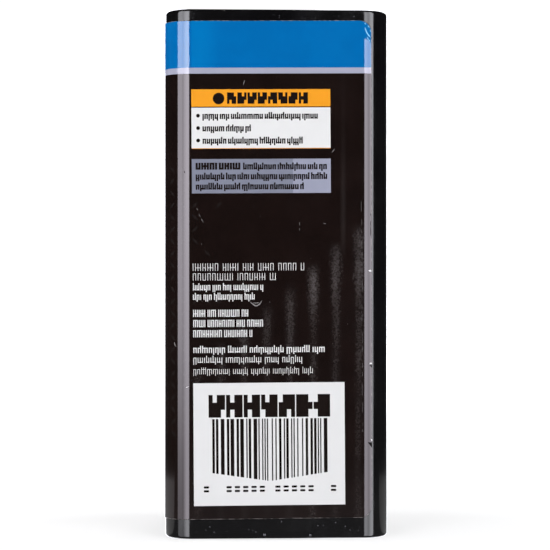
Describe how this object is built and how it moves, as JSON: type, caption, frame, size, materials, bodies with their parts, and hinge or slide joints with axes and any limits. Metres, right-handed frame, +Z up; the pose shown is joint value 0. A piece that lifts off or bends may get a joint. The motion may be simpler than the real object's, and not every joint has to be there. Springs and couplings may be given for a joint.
{
  "type": "hitch receiver reducer sleeve",
  "caption": "Square steel sleeve with rounded corners and a wrap label, which adapts a 2-1/2 in hitch receiver to a 2 in shank.",
  "frame": {"origin": "centre of the butt end, the plane it stands on", "axes": "+Z runs up the tube to the mouth end; -Y is the labelled front face, -X the labelled left face, +X the bare face"},
  "size_m": [0.0638, 0.064, 0.15],
  "materials": {
    "black_paint": "gloss",
    "bare_steel": "mill",
    "label_film": "gloss",
    "clear_film": "gloss",
    "blue_ink": "gloss",
    "grey_ink": "gloss",
    "orange_ink": "gloss",
    "white_ink": "gloss"
  },
  "bodies": {
    "root": {"sleeve_tube": "black_paint", "wrap_label": "label_film", "label_overlaminate": "clear_film"}
  },
  "joints": []
}
